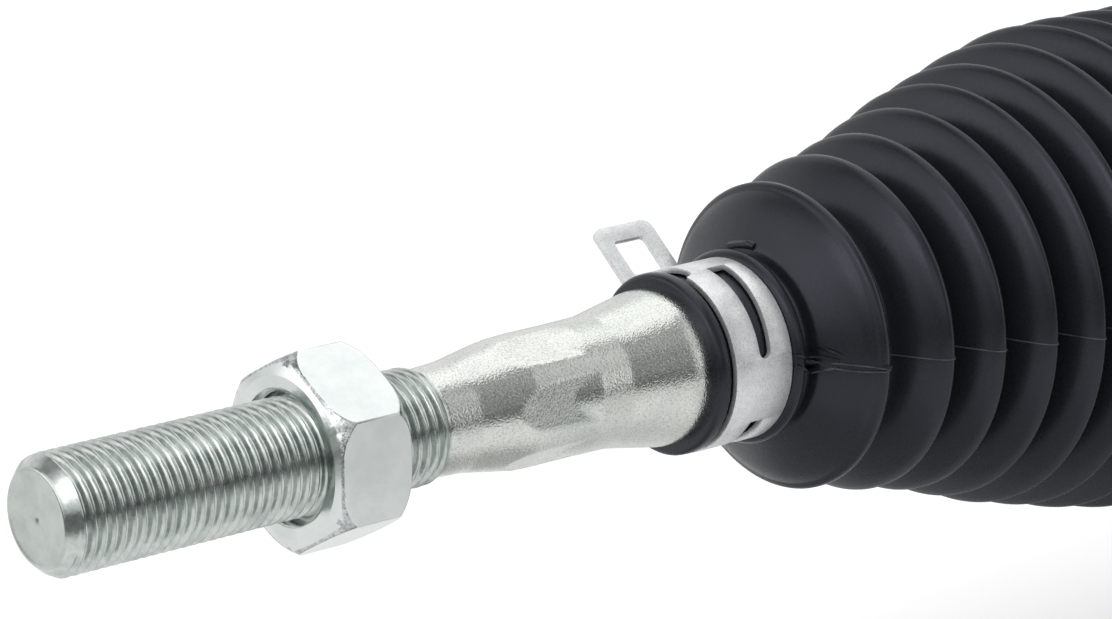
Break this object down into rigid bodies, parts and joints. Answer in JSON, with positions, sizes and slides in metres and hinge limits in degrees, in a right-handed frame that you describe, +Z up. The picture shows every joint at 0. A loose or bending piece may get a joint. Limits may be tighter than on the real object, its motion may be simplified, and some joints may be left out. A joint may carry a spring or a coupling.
{
  "type": "steering rack",
  "caption": "Rack-and-pinion steering gear with tie rods, lock nuts, rubber bellows, spring clamps, support yoke and bushed mounting lugs; the rack, pinion and tie rods move.",
  "frame": {"origin": "centre of the two mounting bolts, on the face that the steel sleeves rest on", "axes": "+X along the rack towards the pinion's end, +Y to the rear, +Z up"},
  "size_m": [1.094, 0.1222, 0.1218],
  "materials": {
    "cast_aluminium": "die-cast, shot-blasted",
    "zinc_steel": "bright zinc plated, passivated",
    "ground_steel": "ground and polished",
    "bearing_steel": "polished hardened steel",
    "phosphated_steel": "phosphated and oiled",
    "black_rubber": "moulded, soft sheen",
    "mount_rubber": "moulded",
    "seat_plastic": "natural acetal",
    "bush_plastic": "filled acetal",
    "spring_steel": "oiled spring wire",
    "yoke_aluminium": "machined",
    "liner_bronze": "sintered bronze with polymer face"
  },
  "bodies": {
    "housing": {"rack_housing": "cast_aluminium", "rack_bush": "bush_plastic", "bush_retaining_ring": "phosphated_steel", "upper_bearing_outer_ring": "bearing_steel", "pinion_ring_nut": "zinc_steel", "pinion_shaft_seal": "black_rubber", "tower_dust_cap": "black_rubber", "lower_bearing_shell": "bearing_steel", "tower_foot_plug": "zinc_steel", "support_yoke": "yoke_aluminium", "yoke_liner": "liner_bronze", "yoke_o_rings": "black_rubber", "yoke_spring": "spring_steel", "yoke_adjuster_plug": "zinc_steel", "yoke_lock_nut": "zinc_steel", "mount_bush_left": "mount_rubber", "mount_sleeve_left": "zinc_steel", "bellows_left": "black_rubber", "large_clamp_left": "zinc_steel", "mount_bush_right": "mount_rubber", "mount_sleeve_right": "zinc_steel", "bellows_right": "black_rubber", "large_clamp_right": "zinc_steel"},
    "rack": {"rack_bar": "ground_steel", "joint_housing_left": "phosphated_steel", "ball_seat_left": "seat_plastic", "joint_lock_washer_left": "zinc_steel", "joint_housing_right": "phosphated_steel", "ball_seat_right": "seat_plastic", "joint_lock_washer_right": "zinc_steel"},
    "pinion": {"pinion_shaft": "ground_steel", "upper_bearing_inner_ring": "bearing_steel", "pinion_circlip": "phosphated_steel"},
    "upper_bearing_train": {"upper_bearing_balls": "bearing_steel", "upper_bearing_cage": "bush_plastic"},
    "lower_bearing_train": {"lower_bearing_rollers": "bearing_steel"},
    "tie_rod_left": {"tie_rod_left": "zinc_steel", "tie_rod_lock_nut_left": "zinc_steel", "small_clamp_left": "zinc_steel"},
    "tie_rod_right": {"tie_rod_right": "zinc_steel", "tie_rod_lock_nut_right": "zinc_steel", "small_clamp_right": "zinc_steel"}
  },
  "joints": [
    {"name": "rack_slide", "type": "slide", "parent": "housing", "child": "rack", "axis": [1, 0, 0], "range_m": [-0.065, 0.065], "deforming": ["bellows_left", "bellows_right"]},
    {"name": "pinion_turn", "type": "hinge", "parent": "housing", "child": "pinion", "pos_m": [0.13, -0.02512, 0.02458], "axis": [0, 0.342, 0.9397], "range_deg": [-490.08, 490.08]},
    {"name": "upper_bearing_roll", "type": "hinge", "parent": "housing", "child": "upper_bearing_train", "pos_m": [0.13, -0.01691, 0.04714], "axis": [0, 0.342, 0.9397], "range_deg": [-188.52, 188.52]},
    {"name": "lower_bearing_roll", "type": "hinge", "parent": "housing", "child": "lower_bearing_train", "pos_m": [0.13, -0.03298, 0.00297], "axis": [0, 0.342, 0.9397], "range_deg": [-202.82, 202.82]},
    {"name": "tie_rod_swing_left", "type": "hinge", "parent": "rack", "child": "tie_rod_left", "pos_m": [-0.371, -0.04, 0.03], "axis": [0, 1, 0], "range_deg": [-22, 22]},
    {"name": "tie_rod_swing_right", "type": "hinge", "parent": "rack", "child": "tie_rod_right", "pos_m": [0.371, -0.04, 0.03], "axis": [0, -1, 0], "range_deg": [-22, 22]}
  ],
  "couplings": [
    {"joint": "pinion_turn", "follows": "rack_slide", "rad_per_m": 131.58},
    {"joint": "upper_bearing_roll", "follows": "rack_slide", "rad_per_m": 50.607},
    {"joint": "lower_bearing_roll", "follows": "rack_slide", "rad_per_m": 54.446}
  ]
}
